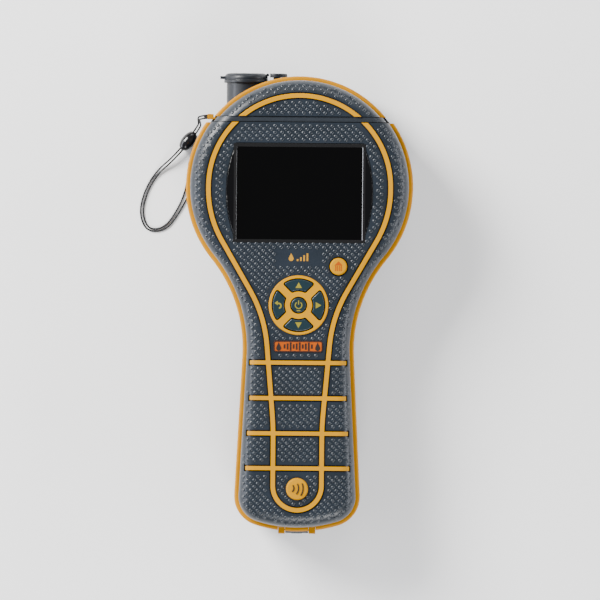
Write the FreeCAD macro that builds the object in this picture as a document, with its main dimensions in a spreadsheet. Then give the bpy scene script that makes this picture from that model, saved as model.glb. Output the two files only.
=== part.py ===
import FreeCAD, Part
import math
import os
import Sketcher
from FreeCAD import Placement, Rotation, Vector

# Handheld moisture meter lying on its back: millimetres, +Z out of the display, +Y towards the
# top end with the pin cap and the probe port. The sheet's places are measured from the centre of
# the round head; "piece" then moves each sub-part so that the origin is under the middle.

SIZES = {
    "head_y": 54.1,              # the head's centre, from the origin
    # the case's plan outline, at the yellow rim
    "head_radius": 52.7,
    "neck_radius": 66.0,
    "neck_x": 91.8,              # the centre of the hollow neck curve, from the middle line
    "flare": 2.9,                # degrees that each side of the handle opens
    "corner_radius": 14.0,
    "heel_radius": 65.0,
    "heel_y": 159.7,             # from the head's centre to the end of the handle
    # the case's levels and walls
    "rim_bottom": 22.0,
    "rim_top": 26.0,
    "face": 46.0,                # the front face
    "wall": 2.4,
    "face_wall": 2.8,
    "rim_depth": 4.5,
    "rear_inset": 1.6,
    "front_inset": 2.1,
    "rear_edge": 11.5,           # rounding of the rear edge
    "front_edge": 6.5,           # rounding of the front edge
    "fit": 0.1,                  # clearance of pieces that are fitted and do not move
    "gap": 0.3,                  # clearance round pieces that move
    # the hollow under the handle
    "scoop_top": -44.0,
    "scoop_end": -140.0,
    "scoop_depth": 6.0,
    "scoop_bend": 50.0,
    # the seam between the case and the pin cap
    "seam_low": 29.7,
    "seam_high": 32.2,
    "collar_inset": 0.7,
    "cap_radius": 51.3,
    "cap_bottom": 22.4,
    # the raised yellow line
    "trim_radius": 42.1,
    "trim_half": 1.05,           # half the width of the line
    "trim_proud": 0.5,
    "trim_sunk": 0.9,
    "trim_groove": 0.6,          # the dark gap on each side of it
    "grip_half": 11.25,
    "grip_end": -138.3,
    "bar_half": 0.95,
    # the display
    "window_high": 20.0,
    "window_low": -25.1,
    "window_half": 33.9,
    "window_bow": 58.8,
    "window_thick": 1.7,
    "window_proud": 0.2,
    "gasket_thick": 0.5,
    "view_half": 29.0,
    "view_half_high": 21.2,
    "view_y": -3.1,
    "lcd_half": 31.5,
    "lcd_half_high": 24.0,
    "lcd_thick": 5.2,
    # the keypad
    "pad_y": -54.8,
    "pad_radius": 13.8,
    "key_outer": 11.95,
    "key_inner": 6.85,
    "spoke": 3.4,
    "power_radius": 3.45,
    "home_x": 18.3,
    "home_y": -36.8,
    "home_radius": 4.0,
    "key_bottom": 40.6,
    "key_top": 47.3,
    "bezel_top": 46.8,
    "key_gap": 0.5,
    "mat_top": 39.7,
    "mat_thick": 0.8,
    # boards
    "board_top": 37.6,
    "board_thick": 1.6,
    # nameplate and marker
    "plate_y": -73.9,
    "plate_half": 11.2,
    "plate_half_high": 2.5,
    "marker_y": -139.7,
    "marker_radius": 5.1,
    "marker_stem": 2.0,
    # the probe port
    "port_x": -25.2,
    "port_z": 11.0,
    "port_radius": 9.0,
    "port_bore": 7.5,
    "connector_radius": 7.0,
    "port_mouth": 49.8,
    "port_floor": 38.0,
    "port_inner_end": 29.0,
    "flange_radius": 10.25,
    "flange_low": 48.2,
    "lid_thick": 2.8,
    "lid_hinge_x": -15.2,
    "lid_hinge_y": 52.0,
    "stud_x": -10.9,
    "stud_radius": 4.85,
    "stud_neck": 1.7,
    # the pins
    "pin_x": 7.0,
    "pin_z": 34.0,
    "pin_tip": 46.0,
    "pin_radius": 0.8,
    "point_length": 2.4,
    "collet_radius": 1.6,
    "nut_radius": 2.8,
    "nut_length": 2.4,
    "block_half": 21.0,
    "block_back": 25.5,
    "block_front": 40.2,
    "block_low": 27.0,
    "block_high": 41.0,
    # the surface thermometer
    "infrared_x": 8.0,
    "laser_x": 19.0,
    "sight_z": 13.5,
    "infrared_radius": 4.5,
    "laser_radius": 3.0,
    # the batteries
    "cell_radius": 7.2,
    "cell_body": 48.7,           # a cell without its tip
    "cell_tip": 1.5,
    "cell_x": 7.8,
    "cell_z": 18.8,
    "tray_half": 17.6,
    "tray_low": -143.0,
    "tray_high": -84.4,
    "tray_bottom": 11.4,
    "tray_top": 28.0,
    "tray_wall": 1.4,
    "door_half": 17.0,
    "door_high": -85.0,
    "door_low": -141.0,
    # the connector and its cover at the end of the handle
    "usb_z": 13.0,
    "usb_half": 4.5,
    "usb_half_high": 1.6,
    "lug_inner": 5.55,
    "lug_outer": 8.6,
    "flap_half": 5.3,
    "flap_y": -159.25,
    "flap_z": 20.4,
    "flap_barrel": 1.3,
    # the pad over the non-invasive sensor
    "sensor_y": 4.0,
    "sensor_radius": 24.0,
    "sensor_thick": 0.85,
    # screws
    "screw_radius": 1.45,
    "screw_head": 2.7,
    "screw_low": 7.6,
    "screw_seat": 10.0,
    "screw_length": 25.0,
    "thread_depth": 17.0,
    "slot_depth": 1.3,
    "slot_half": 0.35,
    "slot_reach": 1.6,
    "boss_radius": 3.6,
    # the wrist strap
    "cord_radius": 0.4,
    "bead_radius": 3.1,
    "bead_half": 5.3,
}

doc = FreeCAD.newDocument("moisture_meter")
sheet = doc.addObject("Spreadsheet::Sheet", "Sizes")
for row, (alias, value) in enumerate(SIZES.items(), start=1):
    sheet.set(f"A{row}", alias.replace("_", " "))
    sheet.set(f"B{row}", str(value))
    sheet.setAlias(f"B{row}", alias)
doc.recompute()

TURN = {"x": Rotation(Vector(0, 1, 0), 90), "y": Rotation(Vector(1, 0, 0), -90), "z": Rotation()}
pieces = []


# ---- sizes as expressions ------------------------------------------------------------------------

def size(alias):
    """The sheet's value, for geometry that is worked out rather than bound."""
    return float(sheet.get(alias))


def words(term):
    """An expression for a number, a sheet alias, or a sum such as 'face + -wall'."""
    if not isinstance(term, str):
        return str(term)
    names = []
    for name in term.split(" + "):
        sign = "-" if name.startswith("-") else ""
        bare = name.lstrip("-")
        names.append(f"{sign}Sizes.{bare}" if bare in SIZES else f"{sign}{bare}")
    return "(" + " + ".join(names) + ")"


def number(term):
    """The same term as a number."""
    if not isinstance(term, str):
        return float(term)
    total = 0.0
    for name in term.split(" + "):
        sign = -1.0 if name.startswith("-") else 1.0
        bare = name.lstrip("-")
        total += sign * (size(bare) if bare in SIZES else float(bare))
    return total


# ---- solids --------------------------------------------------------------------------------------

def box(name, across, along, up):
    """A block given by its low and high place on X, Y and Z."""
    block = doc.addObject("Part::Box", name)
    for edge, axis, (low, high) in zip(("Length", "Width", "Height"), "xyz", (across, along, up)):
        block.setExpression(edge, f"{words(high)} - {words(low)}")
        block.setExpression(f".Placement.Base.{axis}", words(low))
    return block


def rod(name, radius, start, length, axis="z"):
    """A cylinder from its start point along an axis."""
    bar = doc.addObject("Part::Cylinder", name)
    bar.Placement = Placement(Vector(), TURN[axis])
    bar.setExpression("Radius", words(radius))
    bar.setExpression("Height", words(length))
    for letter, place in zip("xyz", start):
        bar.setExpression(f".Placement.Base.{letter}", words(place))
    return bar


def union(name, *things):
    if len(things) == 1:
        return things[0]
    whole = doc.addObject("Part::MultiFuse", name)
    whole.Shapes = list(things)
    return whole


def cut(name, base, *tools):
    left = doc.addObject("Part::Cut", name)
    left.Base = base
    left.Tool = union(name + "_tools", *tools)
    return left


def common(name, first, second):
    both = doc.addObject("Part::Common", name)
    both.Base = first
    both.Tool = second
    return both


def soften(name, thing, radius, chosen):
    """Round the edges of a solid that a test picks."""
    doc.recompute()
    rounded = doc.addObject("Part::Fillet", name)
    rounded.Base = thing
    rounded.Edges = [(index, radius, radius)
                     for index, edge in enumerate(thing.Shape.Edges, start=1) if chosen(edge)]
    return rounded


def level_at(height):
    """A test for the edges that lie flat at one height."""
    return lambda edge: abs(edge.BoundBox.ZMin - height) < 0.01 and edge.BoundBox.ZLength < 0.01


def upright(edge):
    """A test for the edges that stand up along Z."""
    bounds = edge.BoundBox
    return bounds.ZLength > 0.5 and bounds.XLength < 0.01 and bounds.YLength < 0.01


def piece(label, thing):
    """A finished sub-part, moved from the head's centre to its place over the origin."""
    bound = {path.lstrip("."): text for path, text in thing.ExpressionEngine}
    along = bound.get("Placement.Base.y", "0")
    thing.setExpression(".Placement.Base.y", f"{along} + Sizes.head_y")
    thing.Label = label
    pieces.append(thing)
    return thing


# ---- the case's rounded forms --------------------------------------------------------------------

def plane(body, role):
    for feature in body.Origin.OriginFeatures:
        if feature.Role == role:
            return feature
    raise ValueError(role)


def arc(centre, radius, start, end):
    """An anticlockwise arc between two points on its circle."""
    circle = Part.Circle(centre, Vector(0, 0, 1), radius)
    first = math.atan2(start.y - centre.y, start.x - centre.x)
    last = math.atan2(end.y - centre.y, end.x - centre.x)
    if last <= first:
        last += 2 * math.pi
    return Part.ArcOfCircle(circle, first, last)


def mirrored(point):
    return Vector(-point.x, point.y, 0)


def outline_sketch(body, inset, level):
    """The case's plan outline, drawn inside the rim's edge: head, hollow neck, handle and heel."""
    inside = number(inset)
    head = size("head_radius") - inside
    neck = size("neck_radius") + inside
    neck_centre = Vector(size("neck_x"), -math.sqrt((head + neck) ** 2 - size("neck_x") ** 2), 0)
    flare = math.radians(size("flare"))
    outward = Vector(math.cos(flare), math.sin(flare), 0)
    downward = Vector(math.sin(flare), -math.cos(flare), 0)
    head_end = neck_centre * (head / (head + neck))
    neck_end = neck_centre - outward * neck
    heel = size("heel_radius") - inside
    heel_centre = Vector(0, size("heel_radius") - size("heel_y"), 0)
    corner = size("corner_radius") - inside
    # the corner's centre is a corner radius inside both the handle's side and the heel's curve
    offset = neck_end - outward * corner - heel_centre
    along = offset.dot(downward)
    across = offset.dot(outward)
    reach = math.sqrt((heel - corner) ** 2 - across ** 2)
    corner_centre = heel_centre + offset + downward * (reach - along)
    side_end = corner_centre + outward * corner
    heel_end = heel_centre + (corner_centre - heel_centre).normalize() * heel

    sketch = body.newObject("Sketcher::SketchObject", body.Name + "_outline")
    sketch.AttachmentSupport = (plane(body, "XY_Plane"), [""])
    sketch.MapMode = "FlatFace"
    sketch.setExpression(".AttachmentOffset.Base.z", words(level))
    sketch.addGeometry([
        arc(Vector(), head, head_end, mirrored(head_end)),
        arc(neck_centre, neck, head_end, neck_end),
        Part.LineSegment(neck_end, side_end),
        arc(corner_centre, corner, heel_end, side_end),
        arc(heel_centre, heel, mirrored(heel_end), heel_end),
        arc(mirrored(corner_centre), corner, mirrored(side_end), mirrored(heel_end)),
        Part.LineSegment(mirrored(side_end), mirrored(neck_end)),
        arc(mirrored(neck_centre), neck, mirrored(neck_end), mirrored(head_end)),
    ], False)
    Constraint = Sketcher.Constraint
    for joint in ((0, 1, 1, 1), (1, 2, 2, 1), (2, 2, 3, 2), (3, 1, 4, 2),
                  (4, 1, 5, 2), (5, 1, 6, 1), (6, 2, 7, 1), (7, 2, 0, 2)):
        sketch.addConstraint(Constraint("Tangent", *joint))
    sketch.addConstraint(Constraint("Coincident", 0, 3, -1, 1))
    sketch.addConstraint(Constraint("PointOnObject", 4, 3, -2))
    text = words(inset)
    driven = [
        (Constraint("Radius", 0, head), f"Sizes.head_radius - {text}"),
        (Constraint("Radius", 1, neck), f"Sizes.neck_radius + {text}"),
        (Constraint("Radius", 7, neck), f"Sizes.neck_radius + {text}"),
        (Constraint("Radius", 3, corner), f"Sizes.corner_radius - {text}"),
        (Constraint("Radius", 5, corner), f"Sizes.corner_radius - {text}"),
        (Constraint("Radius", 4, heel), f"Sizes.heel_radius - {text}"),
        (Constraint("DistanceX", -1, 1, 1, 3, size("neck_x")), "Sizes.neck_x"),
        (Constraint("DistanceX", 7, 3, -1, 1, size("neck_x")), "Sizes.neck_x"),
        (Constraint("DistanceY", 4, 3, -1, 1, -heel_centre.y), "Sizes.heel_y - Sizes.heel_radius"),
        (Constraint("Angle", 2, flare - math.pi / 2), "Sizes.flare - 90"),
        (Constraint("Angle", 6, math.pi / 2 - flare), "90 - Sizes.flare"),
    ]
    for constraint, expression in driven:
        index = sketch.addConstraint(constraint)
        sketch.setExpression(f"Constraints[{index}]", expression)
    return sketch


def scoop(body, raised):
    """Hollow the underside of the handle: three arcs in side view, each tangent to the next."""
    bend = size("scoop_bend")
    top = size("scoop_top")
    end = size("scoop_end")
    half = (top - end) / 2
    both = (half ** 2 + size("scoop_depth") ** 2) / (2 * size("scoop_depth"))
    arch = both - bend + number(raised)
    bend -= number(raised)
    low = number(raised)
    middle = (top + end) / 2
    arch_centre = Vector(middle, size("scoop_depth") - (both - size("scoop_bend")), 0)
    bends = [Vector(end, size("scoop_bend"), 0), Vector(top, size("scoop_bend"), 0)]
    joins = [centre + (arch_centre - centre).normalize() * bend for centre in bends]
    sketch = body.newObject("Sketcher::SketchObject", body.Name + "_scoop")
    sketch.AttachmentSupport = (plane(body, "YZ_Plane"), [""])
    sketch.MapMode = "FlatFace"
    foot = -5.0
    starts = [Vector(end, low, 0), Vector(top, low, 0)]
    feet = [Vector(end, foot, 0), Vector(top, foot, 0)]
    sketch.addGeometry([
        arc(bends[0], bend, starts[0], joins[0]),
        arc(arch_centre, arch, joins[1], joins[0]),
        arc(bends[1], bend, joins[1], starts[1]),
        Part.LineSegment(starts[1], feet[1]),
        Part.LineSegment(feet[1], feet[0]),
        Part.LineSegment(feet[0], starts[0]),
    ], False)
    for index in range(6):
        sketch.addConstraint(Sketcher.Constraint("Block", index))
    pocket = body.newObject("PartDesign::Pocket", body.Name + "_hollow")
    pocket.Profile = sketch
    pocket.Type = 1
    pocket.Midplane = True
    return pocket


def form(name, inset, low, high, edge, front, hollow=None):
    """A slab with the case's outline, its front or rear edge rounded, scooped at the back."""
    body = doc.addObject("PartDesign::Body", name)
    pad = body.newObject("PartDesign::Pad", name + "_pad")
    pad.Profile = outline_sketch(body, inset, low)
    pad.setExpression("Length", f"{words(high)} - {words(low)}")
    doc.recompute()
    last = pad
    if hollow is not None:
        before = pad.Shape.Volume
        last = scoop(body, hollow)
        doc.recompute()
        if last.Shape.Volume > before - 1000:
            raise ValueError(f"{name}: the scoop cut nothing")
    if edge is not None:
        wanted = number(high) if front else number(low)
        names = []
        for index, side in enumerate(last.Shape.Edges, start=1):
            bounds = side.BoundBox
            upright = bounds.XLength < 0.01 and bounds.YLength < 0.01
            crossing = bounds.YLength < 0.01 and bounds.ZLength < 0.01
            near = bounds.ZMin > wanted - 0.01 if front else bounds.ZMax < number(high) - 1
            if near and not upright and not crossing:
                names.append(f"Edge{index}")
        fillet = body.newObject("PartDesign::Fillet", name + "_edge")
        fillet.Base = (last, names)
        fillet.setExpression("Radius", words(edge))
        last = fillet
    body.Tip = last
    doc.recompute()
    return body


# ---- the case ------------------------------------------------------------------------------------

rear_outer = form("rear_outer", "rear_inset", 0, "rim_bottom", "rear_edge", False, hollow=0)
rear_inner = form("rear_inner", "rear_inset + wall", "wall", "rim_top", "rear_edge + -wall", False,
                  hollow="wall")
front_outer = form("front_outer", "front_inset", "rim_top", "face", "front_edge", True)
front_inner = form("front_inner", "front_inset + wall", "rim_bottom", "face + -face_wall",
                   "front_edge + -wall", True)

FAR = 200
above_seam = box("above_seam", (-FAR, FAR), ("seam_low", FAR), (-FAR, FAR))

# the screws that hold the halves together: head, neck and heel
SCREWS = [(side * x, y) for x, y in ((36.5, 8), (16, -70), (15, -149)) for side in (-1, 1)]
front_bosses = []
front_threads = []
rear_bosses = []
rear_holes = []
screws = []
for index, (x, y) in enumerate(SCREWS):
    front_bosses.append(rod(f"front_boss_{index}", "boss_radius", (x, y, "rim_bottom + fit"),
                            "face + -face_wall + 0.8 + -rim_bottom"))
    front_threads.append(rod(f"thread_{index}", "screw_radius + 0.05", (x, y, 20), "thread_depth"))
    rear_bosses.append(rod(f"rear_boss_{index}", "boss_radius", (x, y, 1.5), "rim_bottom + -1.6"))
    rear_holes.append(rod(f"screw_way_{index}", "screw_radius + 0.15", (x, y, -1), 30))
    rear_holes.append(rod(f"screw_sink_{index}", "screw_head + gap", (x, y, -1), "screw_seat + 1"))
    shank = rod(f"screw_shank_{index}", "screw_radius", (x, y, "screw_seat + -1"), "screw_length")
    head = rod(f"screw_body_{index}", "screw_head", (x, y, "screw_low"), 2.38)
    slot_high = ("screw_low + -1", "screw_low + slot_depth")
    drive = box(f"screw_drive_{index}", (f"{x} + -slot_reach", f"{x} + slot_reach"),
                (f"{y} + -slot_half", f"{y} + slot_half"), slot_high)
    drive_across = box(f"screw_across_{index}", (f"{x} + -slot_half", f"{x} + slot_half"),
                       (f"{y} + -slot_reach", f"{y} + slot_reach"), slot_high)
    screws.append(cut(f"screw_{index}", union(f"screw_solid_{index}", shank, head), drive,
                      drive_across))


# the raised yellow line
def trim_middle():
    """The line's middle as one closed wire: round the display, down the neck, round the grip's end."""
    circle = size("trim_radius")
    grip = size("grip_half")
    # each corner of the line as straight runs, and the radius that rounds it
    corners = [(circle, -14.1, 47), (15.64, -59.9, 60), (grip, -110.5, 150)]
    points = [Vector(circle, 0, 0)] + [Vector(x, y, 0) for x, y, _ in corners]
    points.append(Vector(grip, size("grip_end"), 0))
    edges = []
    start = points[0]
    for corner, (_, _, radius) in zip(range(1, len(points) - 1), corners):
        before = (points[corner] - points[corner - 1]).normalize()
        after = (points[corner + 1] - points[corner]).normalize()
        turn = before.getAngle(after)
        reach = radius * math.tan(turn / 2)
        enter = points[corner] - before * reach
        leave = points[corner] + after * reach
        crown = points[corner] + (after - before).normalize() * (
            math.sqrt(radius ** 2 + reach ** 2) - radius)
        edges.append(Part.LineSegment(start, enter).toShape())
        edges.append(Part.Arc(enter, crown, leave).toShape())
        start = leave
    edges.append(Part.LineSegment(start, points[-1]).toShape())
    edges += [edge.mirror(Vector(), Vector(1, 0, 0)) for edge in edges]
    bottom = Vector(0, size("grip_end") - grip, 0)
    edges.append(Part.Arc(points[-1], bottom, mirrored(points[-1])).toShape())
    edges.append(Part.Arc(points[0], Vector(0, circle, 0), mirrored(points[0])).toShape())
    return Part.Wire(Part.__sortEdges__(edges))


def trim_band(name, spread):
    """An upright band along the line's middle, as wide as the line plus a spread each side."""
    half = size("trim_half") + spread
    middle = trim_middle()
    outer = middle.makeOffset2D(half)
    inner = middle.makeOffset2D(-half)
    ring = Part.Face(outer).cut(Part.Face(inner))
    band = doc.addObject("Part::Feature", name)
    band.Shape = ring.Faces[0].extrude(Vector(0, 0, 60))
    return band


# the cross bars down the handle: place along it, and half of the length
BARS = [(-81.4, 22.3), (-97.8, 22.3), (-114.1, 23.3), (-130.2, 24.0)]


def trim_stock(name, spread):
    """The band and its cross bars, before they are cut to the face's curve."""
    bars = []
    for index, (y, half) in enumerate(BARS):
        reach = size("bar_half") + spread
        bars.append(box(f"{name}_bar_{index}", (-half - spread, half + spread),
                        (y - reach, y + reach), (20, 60)))
    whole = union(name, trim_band(name + "_band", spread), *bars)
    return cut(name + "_body", whole, above_seam)


trim_outer = form("trim_outer", "front_inset + -trim_proud", "rim_bottom", "face + trim_proud",
                  "front_edge + trim_proud", True)
trim_inner = form("trim_inner", "front_inset + trim_sunk", "rim_bottom", "face + -trim_sunk",
                  "front_edge + -trim_sunk", True)
trim_layer = cut("trim_layer", trim_outer, trim_inner)
piece("trim_frame", common("trim_frame", trim_stock("trim_stock", 0.0), trim_layer))
groove_stock = trim_stock("groove_stock", size("trim_groove"))
groove = cut("groove", groove_stock, trim_inner)


# the display's window: flat ends and bowed sides
def window_solid(name, spread, low, high):
    """The window's outline, grown by a spread, between two levels."""
    bow = f"window_bow + {spread}"
    offset = size("window_bow") - size("window_half")
    middle_y = (size("window_high") + size("window_low")) / 2
    length = number(high) - number(low)
    slab = box(name + "_slab", (f"-window_half + {-spread}", f"window_half + {spread}"),
               (f"window_low + {-spread}", f"window_high + {spread}"), (low, high))
    right = rod(name + "_right", bow, (-offset, middle_y, low), length)
    left = rod(name + "_left", bow, (offset, middle_y, low), length)
    return common(name + "_both", common(name, slab, right), left)


window_bottom = "face + window_proud + -window_thick"
gasket_bottom = window_bottom + " + -gasket_thick"
recess = window_solid("recess", 0.2, gasket_bottom, "face + 5")
view = box("view", ("-view_half", "view_half"), ("view_y + -view_half_high", "view_y + view_half_high"),
           (30, 60))
glass_blank = window_solid("glass", 0.0, window_bottom, "face + window_proud")
piece("display_window", soften("display_glass", glass_blank, 0.35, level_at(number("face + window_proud"))))
seal_blank = window_solid("seal", -0.1, gasket_bottom + " + 0.02", window_bottom + " + -0.02")
seal_opening = box("seal_opening", ("-view_half + -fit", "view_half + fit"),
                   ("view_y + -view_half_high + -fit", "view_y + view_half_high + fit"), (30, 60))
piece("window_gasket", cut("window_gasket", seal_blank, seal_opening))

pad_hole = rod("pad_hole", "pad_radius + -0.5", (0, "pad_y", 30), 30)
pad_seat = rod("pad_seat", "pad_radius + fit", (0, "pad_y", "face + -1"), 10)
home_hole = rod("home_hole", "home_radius + key_gap", ("home_x", "home_y", 30), 30)
plate_way = box("plate_way", ("-plate_half + -fit", "plate_half + fit"),
                ("plate_y + -plate_half_high + -fit", "plate_y + plate_half_high + fit"),
                ("face + -0.6", 60))
plate_recess = soften("plate_recess", plate_way, 1.1, upright)
marker_hole = rod("marker_hole", "marker_stem + fit", (0, "marker_y", 30), 30)
marker_seat = rod("marker_seat", "marker_radius + fit", (0, "marker_y", "face + -0.6"), 10)

front_case = cut("front_case", front_outer, front_inner)
front_bossed = union("front_bossed", front_case, *front_bosses)
piece("front_shell", cut("front_shell", front_bossed, above_seam, groove, recess, view, pad_hole,
                         pad_seat, home_hole, plate_recess, marker_hole, marker_seat,
                         *front_threads))

# the yellow band between the halves
rim_outer = form("rim_outer", 0, "rim_bottom + 0.02", "rim_top + -0.02", None, True)
rim_round = soften("rim_round", rim_outer, 1.1,
                   lambda edge: edge.BoundBox.ZLength < 0.01)
rim_inner = form("rim_inner", "rim_depth", "rim_bottom + -1", "rim_top + 1", None, True)
lug_notches = [box(f"lug_notch_{x}", (x, x + 3.25), (-170, -157.6), (21, 27))
               for x in (-8.7, 5.45)]
piece("body_rim", cut("body_rim", rim_round, rim_inner, above_seam, *lug_notches))
piece("case_screws", union("case_screws", *screws))


# ---- the end of the handle: connector, cover and its pin -----------------------------------------

lugs = []
for side in (-1, 1):
    low, high = sorted((side * size("lug_inner"), side * size("lug_outer")))
    lugs.append(box(f"lug_head_{side + 1}", (low, high), (-160.75, -157.7), (22.05, 25.98)))
    lugs.append(box(f"lug_foot_{side + 1}", (low, high), (-160.75, -158.25), (18.8, 22.1)))
lug_blank = soften("lug_blank", union("lug_pair", *lugs), 0.6,
                   lambda edge: edge.BoundBox.YMax < -160.7 and edge.BoundBox.ZLength < 0.01)
pin_way = rod("pin_way", 0.62, (-20, "flap_y", "flap_z"), 40, "x")
piece("flap_lugs", cut("flap_lugs", lug_blank, pin_way))
piece("flap_hinge_pin", rod("flap_hinge_pin", 0.6, (-8.4, "flap_y", "flap_z"), 16.8, "x"))

flap_barrel = rod("flap_barrel_rod", "flap_barrel", ("-flap_half", "flap_y", "flap_z"), 10.6, "x")
flap_leaf = box("flap_leaf", ("-flap_half", "flap_half"), (-160.2, -158.9), (8.2, "flap_z + -0.2"))
flap_pull = box("flap_pull", (-2.4, 2.4), (-160.9, -159.9), (8.4, 9.6))
flap_plug = box("flap_plug", (-3.9, 3.9), (-159.2, -157.9), ("usb_z + -0.9", "usb_z + 0.9"))
flap_bore = rod("flap_bore", 0.66, (-20, "flap_y", "flap_z"), 40, "x")
piece("usb_flap", cut("usb_flap", union("flap_solid", flap_barrel, flap_leaf, flap_pull, flap_plug),
                      flap_bore))

usb_shell = box("usb_shell_block", ("-usb_half", "usb_half"), (-157.3, -150.0),
                ("usb_z + -usb_half_high", "usb_z + usb_half_high"))
usb_mouth = box("usb_mouth", (-4.1, 4.1), (-160, -151.5), ("usb_z + -1.25", "usb_z + 1.25"))
usb_tongue = box("usb_tongue", (-3.2, 3.2), (-156.6, -151.5), ("usb_z + -0.3", "usb_z + 0.3"))
piece("usb_socket", union("usb_socket", cut("usb_case", usb_shell, usb_mouth), usb_tongue))
piece("usb_board", box("usb_board", (-7, 7), (-155.1, -146.5), ("usb_z + -3.25", "usb_z + -1.65")))
usb_window = box("usb_window", (-4.7, 4.7), (-165, -150), ("usb_z + -1.8", "usb_z + 1.8"))
flap_clear = rod("flap_clear", "flap_barrel + gap", (-5.6, "flap_y", "flap_z"), 11.2, "x")

# ---- the rear of the case ------------------------------------------------------------------------

door_box = box("door_box", ("-door_half", "door_half"), ("door_low", "door_high"), (-1, 9))
door_way = box("door_way", ("-door_half + -gap", "door_half + gap"),
               ("door_low + -gap", "door_high + gap"), (-1, 11))
rear_wall = cut("rear_wall", rear_outer, rear_inner)
door_skin = common("door_skin", door_box, rear_wall)
ridges = [box(f"door_ridge_{index}", (-7, 7), (y, y + 1.0), (-1, 6.6))
          for index, y in enumerate((-92.0, -94.2, -96.4, -98.6))]
piece("battery_door", cut("battery_door", door_skin, *ridges))

port_way = rod("port_way", "port_radius + 0.05", ("port_x", 20, "port_z"), 60, "y")
flange_way = rod("flange_way", "flange_radius + fit", ("port_x", "flange_low + -fit", "port_z"), 20,
                 "y")
infrared_way = rod("infrared_way", "infrared_radius + 0.05", ("infrared_x", 40, "sight_z"), 30, "y")
laser_way = rod("laser_way", "laser_radius + 0.05", ("laser_x", 34, "sight_z"), 40, "y")
stud_way = rod("stud_way", "stud_neck + 0.05", ("stud_x", 40, "port_z"), 30, "y")
rear_bossed = common("rear_bossed", union("rear_filled", rear_wall, *rear_bosses), rear_outer)
sensor_recess = rod("sensor_recess", "sensor_radius + fit", (0, "sensor_y", -1), "sensor_thick + 1.05")
piece("rear_shell", cut("rear_shell", rear_bossed, door_way, port_way, flange_way, infrared_way, laser_way,
                        stud_way, usb_window, flap_clear, sensor_recess, *rear_holes))

# the pad over the non-invasive sensor, flush with the rear face, and the sensor's plate and board
pad_disc = rod("sensor_pad_disc", "sensor_radius + -fit", (0, "sensor_y", 0), "sensor_thick")
piece("sensor_pad", soften("sensor_pad_soft", pad_disc, 0.3, level_at(0)))
piece("rf_sensor_plate", cut("rf_sensor_plate", rod("plate_disc", 21, (0, "sensor_y", 2.6), 1.0),
                             rod("plate_centre", 8, (0, "sensor_y", 2), 4)))
piece("rf_sensor_board", box("rf_sensor_board", (-20, 20), (-20, 22), (8, 9.6)))


# ---- the pin cap and what it covers --------------------------------------------------------------

def cap_form(name, inset, low, high, edge):
    """A round slab of the cap, cut off at the seam, its front edge rounded."""
    disc = rod(name + "_disc", f"cap_radius + {inset}", (0, 0, low), number(high) - number(low))
    return soften(name, disc, edge, level_at(number(high)))


cap_open = box("cap_open", (-FAR, FAR), (-FAR, "seam_high + gap"), (-FAR, FAR))
cap_solid = cap_form("cap_solid", "-front_inset", "cap_bottom", "face", 6.5)
cap_hollow = cap_form("cap_hollow", "-4.3", "cap_bottom + 2.0", "face + -face_wall", 4.5)
cap_groove = cut("cap_groove", rod("cap_groove_disc", "trim_radius + trim_half + trim_groove",
                                   (0, 0, "face + -trim_sunk"), 5),
                 rod("cap_groove_core", "trim_radius + -trim_half + -trim_groove", (0, 0, 40), 20))
piece("cap_shell", cut("cap_shell", cap_solid, cap_hollow, cap_open, cap_groove))
cap_rim_disc = cap_form("cap_rim_disc", "0", "cap_bottom", "rim_top", 1.1)
piece("cap_rim", cut("cap_rim", cap_rim_disc, rod("cap_rim_way", "cap_radius + -front_inset + 0.03",
                                                  (0, 0, 10), 30), cap_open))
cap_line = soften("cap_line", rod("cap_line_disc", "trim_radius + trim_half",
                                  (0, 0, "face + -trim_sunk"), "trim_sunk + trim_proud"), 0.4,
                  level_at(number("face + trim_proud")))
cap_line_core = rod("cap_line_core", "trim_radius + -trim_half", (0, 0, 40), 20)
piece("cap_trim", cut("cap_trim", cap_line, cap_line_core, cap_open))

# the collar closes the case's front half behind the cap, and its deck closes the rear half
collar_form = form("collar_form", "front_inset + collar_inset", "rim_bottom", "face + -collar_inset",
                   "front_edge + -collar_inset", True)
collar_span = box("collar_span", (-FAR, FAR), ("seam_low + gap", "seam_high"),
                  ("rim_bottom + 0.1", FAR))
collar_plate = common("collar_plate", collar_form, collar_span)
deck_disc = rod("deck_disc", "head_radius + -rear_inset + -wall + -fit", (0, 0, 20.4), 1.6)
deck_span = box("deck_span", (-FAR, FAR), ("seam_low + fit", FAR), (-FAR, FAR))
deck = common("deck", deck_disc, deck_span)
deck_join = box("deck_join", (-36, 36), ("seam_low + gap", "seam_high"), (21, 23))
block_way = box("block_way", ("-block_half + -fit", "block_half + fit"), (20, 40),
                ("block_low + -fit", "block_high + fit"))
piece("seam_collar", cut("seam_collar", union("collar_solid", collar_plate, deck, deck_join),
                         block_way))

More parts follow.
